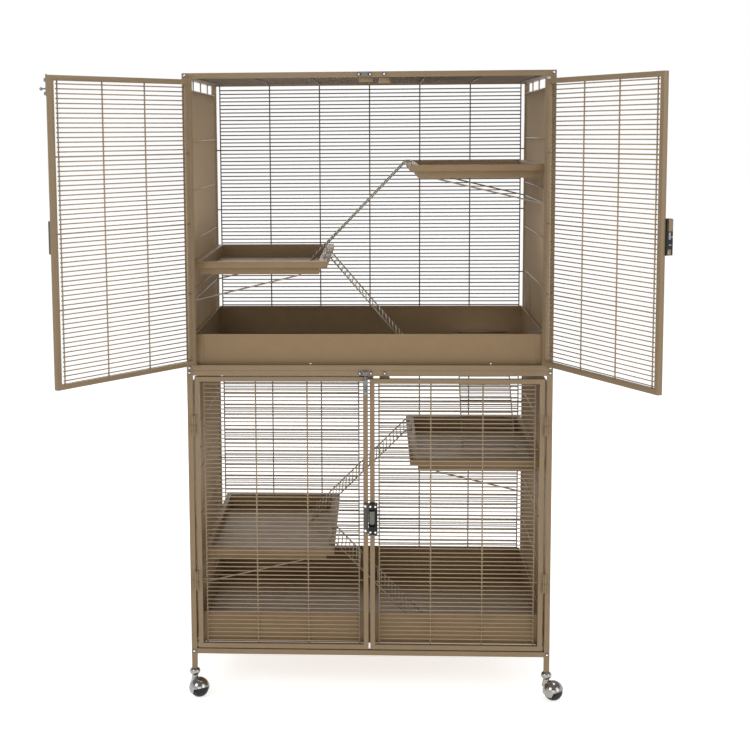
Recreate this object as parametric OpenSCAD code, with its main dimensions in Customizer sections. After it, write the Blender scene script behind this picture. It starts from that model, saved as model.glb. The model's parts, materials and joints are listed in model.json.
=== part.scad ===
// Two-storey wire cage on castors for small animals, with four hinged doors, two floor trays,
// four shelves and five wire ladders. Units are millimetres, +X right, +Y to the back, +Z up.
// The origin is on the floor, under the middle of the frame.

/* [Frame] */
// Width over the posts
cage_w = 950; // [800:10:1100]
// Depth over the posts
cage_d = 630; // [560:10:760]
// Height of one storey, over its rails
unit_h = 768; // [740:4:800]
// Side of the square frame tube
tube = 14; // [12:1:16]
// Wall of the square tubes
wall = 1.2; // [1:0.1:1.6]
// Length of the leg that shows under the bottom rail
leg_drop = 41.5; // [30:0.5:60]

/* [Doors] */
// Side of the square door tube
door_tube = 12.5; // [11:0.5:13]
// Gap between the two doors of a storey
door_gap = 5; // [4:0.5:8]
// Gap between a door and its post, behind the hinge
hinge_gap = 5.5; // [5:0.5:7]
// Gap between a door and the rails above and below
rail_gap = 3; // [2.5:0.5:5]
// How much lower the top edge of a right door lies than a left door's
right_door_drop = 5.5; // [0:0.5:8]
// How far the upper left door stands open
upper_left_open = 128; // [0:1:165]
// How far the upper right door stands open
upper_right_open = 118; // [0:1:165]
// Height of the latch above the bottom edge of its storey
latch_z = 376; // [300:1:450]

/* [Wire] */
// Spacing of the fine bars
bar_pitch = 22.4; // [20:0.1:30]
// Width of a fine bar
fine = 2; // [1.6:0.1:2.5]
// Width of a heavy bar
heavy = 3; // [2.6:0.1:4]
// Thickness of a grille
grille_t = 2.5; // [2:0.1:3]
// Diameter of the rods that brace the shelves
brace_rod = 4; // [3:0.5:5]

/* [Trays] */
// Height of a floor tray's walls
tray_h = 84; // [60:1:100]
// Height of the lower tray above the bottom edge of its storey
lower_tray_lift = 27; // [20:1:40]
// Height of the upper tray above the bottom edge of its storey
upper_tray_lift = 9; // [6:1:14]

/* [Shelves] */
// Width of a shelf over its rim
shelf_w = 348; // [300:2:360]
// Depth of a shelf's pan below its rim
shelf_h = 35; // [28:1:45]
// Height of the lower left shelf's rim above the bottom edge of its storey
lower_left_shelf_z = 278.5; // [250:0.5:310]
// Height of the lower right shelf's rim above the bottom edge of its storey
lower_right_shelf_z = 523; // [490:0.5:560]
// Height of the upper left shelf's rim above the bottom edge of its storey
upper_left_shelf_z = 281; // [250:0.5:310]
// Height of the upper right shelf's rim above the bottom edge of its storey
upper_right_shelf_z = 530; // [490:0.5:560]

/* [Ladders] */
// Width over a ladder's side bars
ladder_w = 150; // [120:2:160]
// Spacing of the rungs
rung_pitch = 14; // [12:1:30]

/* [Castors] */
// Height of a castor from the floor to the leg
castor_h = 73.5; // [72:0.5:90]
// Radius of the ball-shaped wheel
wheel_r = 25; // [20:1:25]
// Distance from the swivel axis to the axle
trail = 20; // [14:1:22]
// Heading of the front left castor
turn_front_left = -50; // [-180:1:180]
// Heading of the front right castor
turn_front_right = -30; // [-180:1:180]
// Heading of the rear left castor
turn_rear_left = 200; // [0:1:360]
// Heading of the rear right castor
turn_rear_right = -60; // [-180:1:180]

/* [Hidden] */
$fn = 48;

steel = "#89755a";
chrome = "#d8d8d8";
black = "#1c1c1c";
fit_gap = 0.05;

// storeys
lower_z = castor_h + leg_drop;
upper_z = lower_z + unit_h;
top_z = upper_z + unit_h;
post_x = cage_w / 2 - tube / 2;
post_y = cage_d / 2 - tube / 2;
inner_x = cage_w / 2 - tube;
inner_y = cage_d / 2 - tube;
front_y = -cage_d / 2;
opening_h = unit_h - 2 * tube;
rail_z = unit_h - tube / 2;

// doors
door_edge_x = inner_x - hinge_gap;
door_w = door_edge_x - door_gap / 2;
door_x = door_gap / 2 + door_w / 2;
door_h = opening_h - 2 * rail_gap;
barrel_r = 4.75;
barrel_h = 52;
pin_r = 2.5;
hinge_x = inner_x - hinge_gap / 2;
hinge_y = front_y - barrel_r;
hinge_heights = [203, 624];
leaf_t = 1.6;
leaf_w = 11;

// grilles: the outer bars of each set stand these distances from the middle
door_bay = 135;
back_bay = 150;
row_step = 8 * bar_pitch;
side_rows = [-342.5, -211, -79.5, 52, 183.5, 315, 355];
side_bay = 150;

// trays
sheet = 1.2;
tray_x = inner_x - 5;
tray_front = -inner_y + 6;
tray_back = inner_y - 16;
hem_w = 2.4;
hem_h = 9;
tab_w = 23;
hatch_x = [250, 420];
hatch_y = [105, 268];
runner_w = 20;
runner_t = 1.5;
runner_l = 2 * inner_y - 6;

// shelves, measured from the middle of the cage on the right-hand side
shelf_x = inner_x - 5 - shelf_w;
shelf_front = -inner_y + 21;
shelf_back = inner_y - 16;
rim_w = 22;
rim_back = 13;
lip_h = 16;
pull_in = 14;
hook_w = 9;
brace_x = [180, inner_x + 2.5];
brace_y = [-255, 270];
brace_drop = 105;

// ladders
ladder_t = 2;
side_w = 3.5;
rung_w = 2;
hook_l = 16;
hook_in = 12;
hook_lift = 1 + ladder_t / 2;
end_gap = 0.5;

// latch and slide bolt on the free stiles
latch_x = [-1.5, 22];
latch_h = 83;
latch_d = 18;
pocket = [0.5, 15.1];
pocket_d = 9;
lever_w = 13.2;
lever_t = 4;
lever_l = 34;
lever_x = (pocket[0] + pocket[1]) / 2;
lever_y = front_y - latch_d + 1.6;
lever_z = latch_z + 20;
lever_pin = 1.5;
strike_x = [-15, -3.5];
strike_h = 78;
strike_d = 8;
slide_x = -8.75;
slide_y = front_y - 6;
slide_r = 2.5;
slide_top = unit_h - tube - 0.5;
guide_z = [705, 744];
eye_h = 8;
knob_z = 720;
knob_l = 20;
keeper_bolt = 13.9;
stop_x = 41;
stop_rise = 5.3;

// castors
stem_r = 4;
stem_top = castor_h + 20;
collar_round = 9.5;
collar_mid = castor_h - 9;
hood_r = wheel_r + 3;
hood_in = wheel_r + 1.2;
axle_r = 3;
tread_half = wheel_r - 5;

// a square tube along X, Y or Z, given by its two end centres; grow makes the bore of it
module tube_between(a, b, side) {
    low = [min(a[0], b[0]), min(a[1], b[1]), min(a[2], b[2])];
    high = [max(a[0], b[0]), max(a[1], b[1]), max(a[2], b[2])];
    pad = [for (i = [0:2]) high[i] - low[i] > 0.01 ? 0 : side / 2];
    translate(low - pad) cube(high - low + 2 * pad);
}

// a welded grille lying flat, u across and v up: fine bars run along u
module grille(fine_u, rows, heavy_u, heavy_v, reach_u, reach_v) {
    linear_extrude(grille_t, center = true) union() {
        for (i = [-rows:rows])
            translate([fine_u[0], i * bar_pitch - fine / 2]) square([fine_u[1] - fine_u[0], fine]);
        for (u = heavy_u)
            translate([u - heavy / 2, -reach_v]) square([heavy, 2 * reach_v]);
        for (v = heavy_v)
            translate([-reach_u, v - heavy / 2]) square([2 * reach_u, heavy]);
    }
}

module at_lower() {
    translate([0, 0, lower_z]) children();
}

module at_upper() {
    translate([0, 0, upper_z]) children();
}

// ---------------------------------------------------------------- frame

bolt_heights = [tube / 2, rail_z + 1];

module side_frame(side) {
    x = side * post_x;
    bore = tube - 2 * wall;
    color(steel) difference() {
        union() {
            for (y = [-post_y, post_y]) tube_between([x, y, 0], [x, y, unit_h], tube);
            for (z = [tube / 2, rail_z]) tube_between([x, -post_y, z], [x, post_y, z], tube);
        }
        for (y = [-post_y, post_y]) tube_between([x, y, -1], [x, y, unit_h + 1], bore);
        for (z = [tube / 2, rail_z]) tube_between([x, -post_y, z], [x, post_y, z], bore);
        for (z = bolt_heights, turn = [0, 180]) rotate([0, 0, turn])
            translate([turn > 0 ? -x : x, front_y - 1, z]) rotate([-90, 0, 0]) cylinder(d = 5.4, h = 4);
    }
}

module cross_rails() {
    bore = tube - 2 * wall;
    color(steel) for (y = [-post_y, post_y], z = [tube / 2, rail_z]) difference() {
        tube_between([-inner_x, y, z], [inner_x, y, z], tube);
        tube_between([-inner_x - 1, y, z], [inner_x + 1, y, z], bore);
    }
}

module back_mesh() {
    columns = [for (i = [-3:3]) i * back_bay];
    edge = 3 * back_bay;
    color(steel) translate([0, post_y, unit_h / 2]) rotate([90, 0, 0])
        grille([-edge, edge], 16, columns, [-8.5 * bar_pitch, 0, row_step], inner_x, opening_h / 2);
}

module side_mesh(side) {
    color(steel) translate([side * post_x, 0, unit_h / 2]) rotate([0, 90, 0])
        grille([side_rows[0], side_rows[6]], 13, side_rows, [-side_bay, 0, side_bay],
               opening_h / 2, inner_y);
}

module top_mesh() {
    columns = [for (i = [-3:3]) i * back_bay];
    edge = 3 * back_bay;
    color(steel) translate([0, 0, top_z - tube / 2])
        grille([-edge, edge], 13, columns, [], inner_x, inner_y);
}

module legs() {
    color(steel) for (x = [-post_x, post_x], y = [-post_y, post_y]) difference() {
        tube_between([x, y, castor_h], [x, y, lower_z], tube);
        translate([x, y, castor_h - 1]) cylinder(r = stem_r + 0.35, h = leg_drop + 2);
    }
}

// a dome-headed screw: the head sits on z = 0 and the shank goes down from it
module dome_screw(head_r, shank) {
    union() {
        intersection() {
            translate([0, 0, -3]) sphere(6.4);
            cylinder(r = head_r, h = 6);
        }
        translate([0, 0, -shank]) cylinder(r = 2.5, h = shank + 1);
    }
}

module frame_bolts() {
    color(chrome) for (base = [lower_z, upper_z], z = bolt_heights, x = [-post_x, post_x]) {
        translate([x, front_y, base + z]) rotate([90, 0, 0]) dome_screw(4.6, 10);
        translate([x, -front_y, base + z]) rotate([-90, 0, 0]) dome_screw(4.6, 10);
    }
}

// ---------------------------------------------------------------- trays

module runner(lift, drop) {
    for (side = [-1, 1]) {
        edge = side > 0 ? inner_x - runner_w : -inner_x;
        web = side > 0 ? inner_x - runner_t : -inner_x;
        union() {
            translate([edge, -runner_l / 2, lift - runner_t - 0.1]) cube([runner_w, runner_l, runner_t]);
            translate([web, -runner_l / 2, lift - drop]) cube([runner_t, runner_l, drop - 0.1]);
        }
    }
}

module tray_runners() {
    color(steel) {
        at_lower() runner(lower_tray_lift, 24);
        at_upper() runner(upper_tray_lift, 8);
    }
}

module tray_box(inset, z, h) {
    translate([-tray_x + inset, tray_front + inset, z])
        cube([2 * (tray_x - inset), tray_back - tray_front - 2 * inset, h]);
}

module tray() {
    union() {
        difference() {
            tray_box(0, 0, tray_h);
            tray_box(sheet, sheet, tray_h);
        }
        difference() {
            tray_box(0, tray_h - hem_h, hem_h);
            tray_box(hem_w, tray_h - hem_h - 1, hem_h + 2);
        }
        for (x = [-tray_x, tray_x - tab_w])
            translate([x, tray_front - sheet, 1]) cube([tab_w, sheet + 0.2, tray_h - 2]);
    }
}

module upper_tray() {
    color(steel) difference() {
        tray();
        translate([hatch_x[0], hatch_y[0], -1])
            cube([hatch_x[1] - hatch_x[0], hatch_y[1] - hatch_y[0], sheet + 2]);
    }
}

module tray_rivets() {
    rivet_x = tray_x - tab_w / 2;
    color(steel) for (base = [lower_z + lower_tray_lift, upper_z + upper_tray_lift])
        for (x = [-rivet_x, rivet_x], z = [23, 63])
            translate([x, tray_front - sheet, base + z]) rotate([90, 0, 0]) intersection() {
                translate([0, 0, -3.4]) sphere(5);
                cylinder(r = 3, h = 4);
            }
}

// ---------------------------------------------------------------- shelves

// drawn on the right, rim top at z = 0, moved in from the side wall by shift
module shelf(shift) {
    depth = shelf_back - shelf_front;
    pan_x = shelf_x + rim_w;
    pan_w = shelf_w - rim_w - rim_back;
    pan_y = shelf_front + rim_w - 1;
    pan_d = depth - 2 * (rim_w - 1);
    color(steel) translate([-shift, 0, 0]) union() {
        difference() {
            union() {
                translate([shelf_x, shelf_front, -lip_h]) cube([shelf_w, depth, lip_h]);
                translate([pan_x, pan_y, -shelf_h]) cube([pan_w, pan_d, shelf_h - 1]);
            }
            translate([pan_x + sheet, pan_y + sheet, -shelf_h + sheet])
                cube([pan_w - 2 * sheet, pan_d - 2 * sheet, shelf_h + 1]);
            difference() {
                translate([shelf_x + sheet, shelf_front + sheet, -lip_h - 1])
                    cube([shelf_w - 2 * sheet, depth - 2 * sheet, lip_h + 1 - sheet]);
                translate([pan_x, pan_y, -lip_h - 2]) cube([pan_w, pan_d, lip_h + 4]);
            }
        }
        for (y = [-190, 190])
            translate([inner_x - 5.2, y - hook_w / 2, -sheet])
                cube([post_x - grille_t / 2 - 0.1 - inner_x + 5.2 + shift, hook_w, sheet]);
    }
}

// a round rod between two points
module rod(a, b, d) {
    v = b - a;
    h = norm(v);
    translate(a) rotate([0, acos(v[2] / h), atan2(v[1], v[0])]) cylinder(d = d, h = h, $fn = 24);
}

// a closed wire loop under a shelf: it leans on the side grille and carries the pan
module brace() {
    under = -shelf_h - brace_rod / 2 - 0.3;
    corners = [
        [brace_x[0], brace_y[0], under], [brace_x[0], brace_y[1], under],
        [brace_x[1], brace_y[1], -brace_drop], [brace_x[1], brace_y[0], -brace_drop]
    ];
    union() for (i = [0:3]) {
        rod(corners[i], corners[(i + 1) % 4], brace_rod);
        translate(corners[i]) sphere(d = brace_rod + 0.1, $fn = 24);
    }
}

module shelf_braces() {
    color(steel) {
        translate([0, 0, lower_z + lower_right_shelf_z]) brace();
        translate([0, 0, upper_z + upper_right_shelf_z]) brace();
        translate([0, 0, lower_z + lower_left_shelf_z]) mirror([1, 0, 0]) brace();
        translate([0, 0, upper_z + upper_left_shelf_z]) mirror([1, 0, 0]) brace();
    }
}

// ---------------------------------------------------------------- ladders

// the side view of a ladder: a flat strip from the hook at +X, bent at x = 0, sloping down to -X
module ladder_profile(length, slope) {
    half = ladder_t / 2;
    low_x = -length * cos(slope);
    low_z = -length * sin(slope);
    off_x = half * sin(slope);
    off_z = half * cos(slope);
    bend = half * tan(slope / 2);
    polygon([
        [hook_l, -half], [hook_l, half], [-bend, half], [low_x - off_x, low_z + off_z],
        [low_x + off_x, low_z - off_z], [bend, -half]
    ]);
}

// a ladder over an edge at x = 0: a flat hook lies over the edge and the rest slopes down to -X,
// so that its low end stops just above a floor that lies drop below the edge
module ladder(drop, slope) {
    half = ladder_t / 2;
    length = (drop + hook_lift - end_gap - half * cos(slope)) / sin(slope);
    count = floor((length - 8) / rung_pitch);
    clear_w = ladder_w - 2 * side_w;
    color(steel) translate([hook_in - hook_l, 0, hook_lift]) difference() {
        rotate([90, 0, 0]) linear_extrude(ladder_w, center = true) ladder_profile(length, slope);
        translate([2, -clear_w / 2, -ladder_t]) cube([hook_l - rung_w - 2, clear_w, 2 * ladder_t]);
        rotate([0, -slope, 0]) for (i = [1:count])
            translate([rung_w - 4 - i * rung_pitch, -clear_w / 2, -ladder_t])
                cube([rung_pitch - rung_w, clear_w, 2 * ladder_t]);
    }
}

module shelf_ladder(y, high, low, slope) {
    drop = high - low + shelf_h - sheet;
    translate([shelf_x, y, high]) ladder(drop, slope);
}

module tray_ladder(y, high, lift, slope, shift) {
    drop = high - lift - sheet;
    translate([-shelf_x + shift, y, high]) rotate([0, 0, 180]) ladder(drop, slope);
}

module hatch_ladder() {
    edge_z = unit_h + upper_tray_lift + sheet;
    drop = edge_z - (lower_right_shelf_z - shelf_h + sheet);
    translate([(hatch_x[0] + hatch_x[1]) / 2, hatch_y[1], edge_z]) rotate([0, 0, 90]) ladder(drop, 45);
}

// ---------------------------------------------------------------- doors

// door parts are drawn closed and then turned about their hinge line
module swing(side, open) {
    translate([side * hinge_x, hinge_y, 0]) rotate([0, 0, side * open])
        translate([-side * hinge_x, -hinge_y, 0]) children();
}

function door_drop(side) = side > 0 ? right_door_drop : 0;

// half of a hinge: a bored barrel with a leaf that points to the given side
module hinge_half(x, z, leaf_side) {
    h = barrel_h / 2 - 0.5;
    leaf_x = leaf_side > 0 ? x + 1.5 : x - 1.5 - leaf_w;
    translate([x, hinge_y, z]) cylinder(r = barrel_r, h = h);
    translate([leaf_x, front_y - leaf_t, z]) cube([leaf_w, leaf_t + 0.01, h]);
}

module door_frame(side) {
    bore = door_tube - 2 * wall;
    y = front_y + door_tube / 2;
    in_x = side * (door_gap / 2 + door_tube / 2);
    out_x = side * (door_edge_x - door_tube / 2);
    z0 = tube + rail_gap;
    z1 = z0 + door_h - door_drop(side);
    color(steel) difference() {
        union() {
            for (x = [in_x, out_x]) tube_between([x, y, z0], [x, y, z1], door_tube);
            for (z = [z0 + door_tube / 2, z1 - door_tube / 2])
                tube_between([in_x, y, z], [out_x, y, z], door_tube);
            for (z = hinge_heights) hinge_half(side * hinge_x, z + 0.5, -side);
        }
        for (x = [in_x, out_x]) tube_between([x, y, z0 - 1], [x, y, z1 + 1], bore);
        for (z = [z0 + door_tube / 2, z1 - door_tube / 2]) tube_between([in_x, y, z], [out_x, y, z], bore);
        for (z = hinge_heights)
            translate([side * hinge_x, hinge_y, z - 1]) cylinder(r = pin_r + fit_gap, h = barrel_h / 2 + 2);
    }
}

module hinge_pins() {
    color(steel) for (base = [lower_z, upper_z], side = [-1, 1], z = hinge_heights) union() {
        translate([0, 0, base]) hinge_half(side * hinge_x, z - barrel_h / 2, side);
        translate([side * hinge_x, hinge_y, base + z - barrel_h / 2]) cylinder(r = pin_r, h = barrel_h);
    }
}

module door_mesh(side) {
    columns = [for (i = [-1.5:1.5]) i * door_bay];
    edge = 1.5 * door_bay;
    reach_u = door_w / 2 - door_tube;
    reach_v = (door_h - door_drop(side)) / 2 - door_tube;
    z = (unit_h - door_drop(side)) / 2;
    color(steel) translate([side * door_x, front_y + door_tube / 2, z]) rotate([90, 0, 0])
        grille([-edge, edge], 15, columns, [-row_step, 0, row_step], reach_u, reach_v);
}

// ---------------------------------------------------------------- latch and slide bolt

module latch_body() {
    w = latch_x[1] - latch_x[0];
    color(black) difference() {
        translate([latch_x[0] + w / 2, front_y, latch_z]) rotate([90, 0, 0])
            linear_extrude(latch_d) offset(3) square([w - 6, latch_h - 6], center = true);
        translate([pocket[0], front_y - latch_d - 1, lever_z - lever_l - 6])
            cube([pocket[1] - pocket[0], pocket_d + 1, lever_l + 12]);
        translate([lever_x - 9, lever_y, lever_z]) rotate([0, 90, 0])
            cylinder(r = lever_pin + fit_gap, h = 20);
    }
}

module latch_lever() {
    color(chrome) translate([lever_x, lever_y, lever_z]) union() {
        rotate([90, 0, 0]) linear_extrude(lever_t, center = true) union() {
            translate([-lever_w / 2, lever_w / 2 - lever_l]) square([lever_w, lever_l - lever_w / 2 + 1.4]);
            translate([0, lever_w / 2 - lever_l]) circle(lever_w / 2);
        }
        translate([-lever_w / 2 - 2, 0, 0]) rotate([0, 90, 0]) cylinder(r = lever_pin, h = lever_w + 6);
    }
}

module latch_strike() {
    w = strike_x[1] - strike_x[0];
    color(black) translate([strike_x[0] + w / 2, front_y, latch_z]) rotate([90, 0, 0])
        linear_extrude(strike_d) offset(2) square([w - 4, strike_h - 4], center = true);
}

module bolt_guide() {
    color(chrome) difference() {
        union() {
            translate([slide_x - 5.5, front_y - 1.2, guide_z[0]]) cube([11, 1.2, guide_z[1] - guide_z[0]]);
            for (z = [guide_z[0], guide_z[1] - eye_h])
                translate([slide_x - 4.5, slide_y - 4, z]) cube([9, front_y - slide_y + 3, eye_h]);
        }
        translate([slide_x, slide_y, guide_z[0] - 1])
            cylinder(r = slide_r + fit_gap, h = guide_z[1] - guide_z[0] + 2);
    }
}

module slide_bolt() {
    color(chrome) union() {
        translate([slide_x, slide_y, guide_z[0] - 2]) cylinder(r = slide_r, h = slide_top - guide_z[0] + 2);
        translate([slide_x, slide_y, knob_z]) rotate([90, 0, 0]) cylinder(r = 2, h = knob_l);
        translate([slide_x, slide_y - knob_l, knob_z]) sphere(4);
    }
}

// a strap on the rail with a bored bridge that the slide bolt runs up into
module bolt_keeper() {
    under = unit_h - tube;
    color(chrome) difference() {
        union() {
            translate([slide_x - keeper_bolt - 5, front_y - 1.2, rail_z - 5.5])
                cube([2 * keeper_bolt + 10, 1.2, 11]);
            translate([slide_x - 6, slide_y - 4, under + 1.5]) cube([12, front_y - slide_y + 4, 11]);
            for (x = [-keeper_bolt, keeper_bolt])
                translate([slide_x + x, front_y - 1, rail_z]) rotate([90, 0, 0]) dome_screw(4.6, 0.5);
        }
        translate([slide_x, slide_y, under]) cylinder(r = slide_r + 0.4, h = 14);
    }
}

module bolt_keepers() {
    at_lower() bolt_keeper();
    at_upper() bolt_keeper();
}

// plates on the inner face of the rail that hang down behind the doors' top corners
module stop_plates() {
    under = unit_h - tube;
    translate([-24, -inner_y, under - 12.5]) cube([36, sheet, 12.5 + stop_rise]);
    translate([stop_x, -inner_y + sheet, under]) rotate([90, 0, 0]) linear_extrude(sheet)
        polygon([[-10, stop_rise], [10, stop_rise], [16, -15.5], [-16, -15.5]]);
    translate([stop_x, front_y, rail_z]) rotate([90, 0, 0]) dome_screw(4, 0);
}

module door_stops() {
    color(steel) {
        at_lower() stop_plates();
        at_upper() stop_plates();
    }
}

// ---------------------------------------------------------------- castors

module at_castor(right, back, turn) {
    translate([right * post_x, back * post_y, 0]) rotate([0, 0, turn]) children();
}

// a rounded ring under each leg; the castor's stem turns in its bore
module castor_collars() {
    color(chrome) for (x = [-post_x, post_x], y = [-post_y, post_y])
        translate([x, y, collar_mid]) rotate_extrude() intersection() {
            translate([collar_round - 4.5, 0]) circle(collar_round);
            translate([stem_r + fit_gap, -12]) square([20, 21]);
        }
}

module castor_hood() {
    color(chrome) union() {
        difference() {
            union() {
                intersection() {
                    translate([trail, 0, wheel_r]) sphere(hood_r);
                    translate([trail, 0, wheel_r]) rotate([90, 0, 0]) linear_extrude(64, center = true)
                        polygon([[-32, -7], [-17, -4], [-7, -10], [6, -10], [12, 3], [32, 9],
                                 [32, 32], [-32, 32]]);
                }
                translate([0, 0, wheel_r + 10]) cylinder(r = stem_r, h = stem_top - wheel_r - 10);
                translate([0, 0, wheel_r + 10])
                    cylinder(r1 = 12, r2 = 8, h = collar_mid - collar_round - 0.7 - wheel_r - 10);
            }
            translate([trail, 0, wheel_r]) sphere(hood_in);
        }
        translate([trail, 0, wheel_r]) rotate([90, 0, 0])
            cylinder(r = axle_r, h = 2 * hood_in + 1.2, center = true);
    }
}

module castor_wheel() {
    color(black) translate([trail, 0, wheel_r]) rotate([90, 0, 0]) difference() {
        intersection() {
            sphere(wheel_r, $fn = 72);
            cylinder(r = wheel_r + 5, h = 2 * tread_half, center = true);
        }
        cylinder(r = axle_r + fit_gap, h = 2 * wheel_r, center = true);
    }
}

// ---------------------------------------------------------------- drawing

at_lower() side_frame(-1);  // lower_left_side_frame
at_lower() side_frame(1);  // lower_right_side_frame
at_upper() side_frame(-1);  // upper_left_side_frame
at_upper() side_frame(1);  // upper_right_side_frame
at_lower() cross_rails();  // lower_cross_rails
at_upper() cross_rails();  // upper_cross_rails
at_lower() back_mesh();  // lower_back_mesh
at_lower() side_mesh(-1);  // lower_left_mesh
at_lower() side_mesh(1);  // lower_right_mesh
at_upper() back_mesh();  // upper_back_mesh
at_upper() side_mesh(-1);  // upper_left_mesh
at_upper() side_mesh(1);  // upper_right_mesh
top_mesh();
legs();
frame_bolts();
tray_runners();
color(steel) at_lower() translate([0, 0, lower_tray_lift]) tray();  // lower_tray
at_upper() translate([0, 0, upper_tray_lift]) upper_tray();
tray_rivets();
at_lower() translate([0, 0, lower_left_shelf_z]) mirror([1, 0, 0]) shelf(pull_in);  // lower_left_shelf
at_lower() translate([0, 0, lower_right_shelf_z]) shelf(0);  // lower_right_shelf
at_upper() translate([0, 0, upper_left_shelf_z]) mirror([1, 0, 0]) shelf(0);  // upper_left_shelf
at_upper() translate([0, 0, upper_right_shelf_z]) shelf(0);  // upper_right_shelf
shelf_braces();
hinge_pins();
bolt_keepers();
door_stops();
at_lower() door_frame(-1);  // lower_left_door_frame
at_lower() door_frame(1);  // lower_right_door_frame
at_upper() swing(-1, upper_left_open) door_frame(-1);  // upper_left_door_frame
at_upper() swing(1, upper_right_open) door_frame(1);  // upper_right_door_frame
at_lower() door_mesh(-1);  // lower_left_door_mesh
at_lower() door_mesh(1);  // lower_right_door_mesh
at_upper() swing(-1, upper_left_open) door_mesh(-1);  // upper_left_door_mesh
at_upper() swing(1, upper_right_open) door_mesh(1);  // upper_right_door_mesh
at_lower() latch_body();  // lower_latch_body
at_upper() swing(1, upper_right_open) latch_body();  // upper_latch_body
at_lower() latch_lever();  // lower_latch_lever
at_upper() swing(1, upper_right_open) latch_lever();  // upper_latch_lever
at_lower() latch_strike();  // lower_latch_strike
at_upper() swing(-1, upper_left_open) latch_strike();  // upper_latch_strike
at_lower() bolt_guide();  // lower_bolt_guide
at_upper() swing(-1, upper_left_open) bolt_guide();  // upper_bolt_guide
at_lower() slide_bolt();  // lower_slide_bolt
at_upper() swing(-1, upper_left_open) slide_bolt();  // upper_slide_bolt
castor_collars();
at_castor(-1, -1, turn_front_left) castor_hood();  // castor_front_left_hood
at_castor(1, -1, turn_front_right) castor_hood();  // castor_front_right_hood
at_castor(-1, 1, turn_rear_left) castor_hood();  // castor_rear_left_hood
at_castor(1, 1, turn_rear_right) castor_hood();  // castor_rear_right_hood
at_castor(-1, -1, turn_front_left) castor_wheel();  // castor_front_left_wheel
at_castor(1, -1, turn_front_right) castor_wheel();  // castor_front_right_wheel
at_castor(-1, 1, turn_rear_left) castor_wheel();  // castor_rear_left_wheel
at_castor(1, 1, turn_rear_right) castor_wheel();  // castor_rear_right_wheel
at_upper() shelf_ladder(125, upper_right_shelf_z, upper_left_shelf_z, 46);  // upper_shelf_ladder
at_upper() tray_ladder(-102, upper_left_shelf_z, upper_tray_lift, 49.5, 0);  // upper_tray_ladder
at_lower() shelf_ladder(137, lower_right_shelf_z, lower_left_shelf_z, 44.5);  // lower_shelf_ladder
at_lower() tray_ladder(-160, lower_left_shelf_z, lower_tray_lift, 45.8, pull_in);  // lower_tray_ladder
at_lower() hatch_ladder();
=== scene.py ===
import json
import math

import bmesh
import bpy
from mathutils import Matrix, Vector

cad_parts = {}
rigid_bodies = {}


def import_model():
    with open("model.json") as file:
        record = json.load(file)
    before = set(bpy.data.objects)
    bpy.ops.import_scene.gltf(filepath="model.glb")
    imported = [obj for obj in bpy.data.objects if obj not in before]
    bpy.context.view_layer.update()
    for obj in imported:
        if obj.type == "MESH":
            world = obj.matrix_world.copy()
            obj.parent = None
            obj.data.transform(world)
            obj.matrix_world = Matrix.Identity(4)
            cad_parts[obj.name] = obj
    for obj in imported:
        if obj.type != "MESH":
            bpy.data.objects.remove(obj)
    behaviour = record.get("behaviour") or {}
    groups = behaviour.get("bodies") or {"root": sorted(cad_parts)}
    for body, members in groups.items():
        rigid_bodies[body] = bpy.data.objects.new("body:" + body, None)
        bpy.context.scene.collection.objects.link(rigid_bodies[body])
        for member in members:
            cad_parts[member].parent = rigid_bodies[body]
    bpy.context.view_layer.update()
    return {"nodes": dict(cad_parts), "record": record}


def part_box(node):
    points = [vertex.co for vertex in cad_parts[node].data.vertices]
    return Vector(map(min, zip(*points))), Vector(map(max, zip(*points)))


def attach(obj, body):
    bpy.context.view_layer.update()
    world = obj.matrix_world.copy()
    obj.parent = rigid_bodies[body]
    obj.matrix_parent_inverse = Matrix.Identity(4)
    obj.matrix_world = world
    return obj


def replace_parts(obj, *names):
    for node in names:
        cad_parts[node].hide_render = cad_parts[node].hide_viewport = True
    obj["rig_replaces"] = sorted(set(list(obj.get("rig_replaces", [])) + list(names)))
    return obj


bl_info = {
    "name": "Wire cage",
    "version": (1, 0, 0),
    "blender": (4, 5, 0),
    "location": "3D View > Sidebar > Wire cage",
    "description": "Finishes a two-storey wire cage around its working frame",
    "category": "Object",
}

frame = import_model()
RECORD = frame["record"]
BEHAVIOUR = RECORD["behaviour"]
BODY_OF = {n: b for b, nodes in BEHAVIOUR["bodies"].items() for n in nodes}
JOINT = {j["name"]: j for j in BEHAVIOUR["joints"]}
SLOT_OF = {s["node"]: s["material_slot"] for s in RECORD["subparts"]}
STOREYS = ("lower", "upper")
X, Y, Z = Vector((1, 0, 0)), Vector((0, 1, 0)), Vector((0, 0, 1))
STOREY_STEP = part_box("upper_cross_rails")[0].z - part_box("lower_cross_rails")[0].z


# ------------------------------------------------------------------ sizes and colours


def linear(red, green, blue):
    """A display colour, 0 to 255, as scene-linear numbers."""
    out = []
    for value in (red, green, blue):
        c = value / 255
        out.append(c / 12.92 if c <= 0.04045 else ((c + 0.055) / 1.055) ** 2.4)
    return tuple(out)


def length_prop(name, description, default):
    return bpy.props.FloatProperty(
        name=name, description=description, default=default, min=0.0, unit="LENGTH", precision=4
    )


def colour_prop(name, description, default):
    return bpy.props.FloatVectorProperty(
        name=name, description=description, default=default, size=3, min=0.0, max=1.0, subtype="COLOR"
    )


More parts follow.
